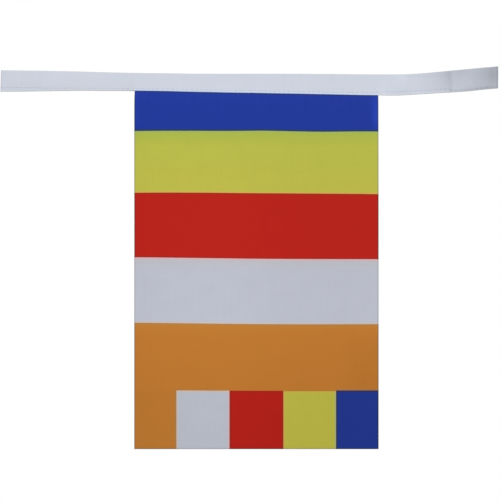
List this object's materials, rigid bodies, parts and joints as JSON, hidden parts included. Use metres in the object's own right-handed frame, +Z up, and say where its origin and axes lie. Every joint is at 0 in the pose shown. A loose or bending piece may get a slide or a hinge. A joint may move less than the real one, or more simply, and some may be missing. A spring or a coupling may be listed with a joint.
{
  "type": "prayer flag bunting string",
  "caption": "Upright prayer flag of thin cloth printed in level colour bands over a row of upright parts, hanging by its top edge from a white tape folded double.",
  "frame": {"origin": "on the tape's top fold, above the middle of the flag", "axes": "+X to the viewer's right along the tape, +Y away from the viewer, +Z up"},
  "size_m": [0.2845, 0.0172, 0.218],
  "materials": {
    "printed_flag_cloth": "thin plain-woven polyester, printed in blue, yellow, red, white and orange, matte",
    "white_tape": "white woven tape, matte, sewn with white thread"
  },
  "bodies": {
    "root": {"flag_panel": "printed_flag_cloth", "heading_tape": "white_tape"}
  },
  "joints": []
}
